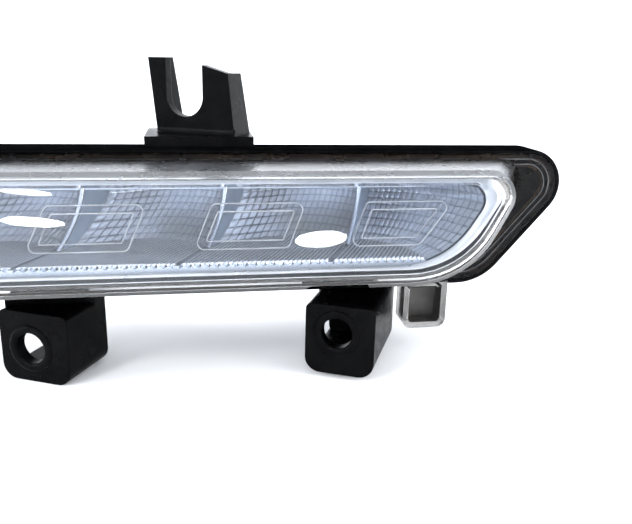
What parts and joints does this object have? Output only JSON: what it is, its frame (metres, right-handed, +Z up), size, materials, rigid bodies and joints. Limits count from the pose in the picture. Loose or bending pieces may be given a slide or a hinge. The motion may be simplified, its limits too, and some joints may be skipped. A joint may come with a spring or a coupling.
{
  "type": "bumper light",
  "caption": "Swept automotive bumper light: clear raked lens over stepped faceted reflectors, black housing with a hook bracket and boxed screw brackets.",
  "frame": {"origin": "centre of the inner lower screw hole, on the front face of its bracket", "axes": "+X outboard along the car's width, -Y forward out of the lens along the screw holes, +Z up"},
  "size_m": [0.1736, 0.1285, 0.0799],
  "materials": {
    "black_plastic": "black moulding, semi-gloss",
    "clear_lens": "clear polished",
    "sealant": "soft dark brown sealant",
    "metallised": "vacuum-metallised plastic",
    "board": "green solder mask",
    "chip": "black moulded package",
    "ferrite": "dark ferrite with winding",
    "can": "drawn can",
    "link": "amber film",
    "terminal": "tinned brass",
    "screw": "zinc plated",
    "membrane": "white porous film",
    "vent": "black rubber",
    "emitter": "phosphor under clear dome"
  },
  "bodies": {
    "root": {"housing": "black_plastic", "outer_lens": "clear_lens", "sealant_bead": "sealant", "reflector": "metallised", "led_board": "board", "driver_board": "board", "driver_chip": "chip", "coil": "ferrite", "capacitor_1": "can", "capacitor_2": "can", "board_link": "link", "connector_pin_1": "terminal", "connector_pin_2": "terminal", "connector_pin_3": "terminal", "reflector_screws": "screw", "driver_screws": "screw", "vent_membrane": "membrane", "vent_cap": "vent", "led_1": "emitter", "led_2": "emitter", "led_3": "emitter", "led_4": "emitter"}
  },
  "joints": []
}
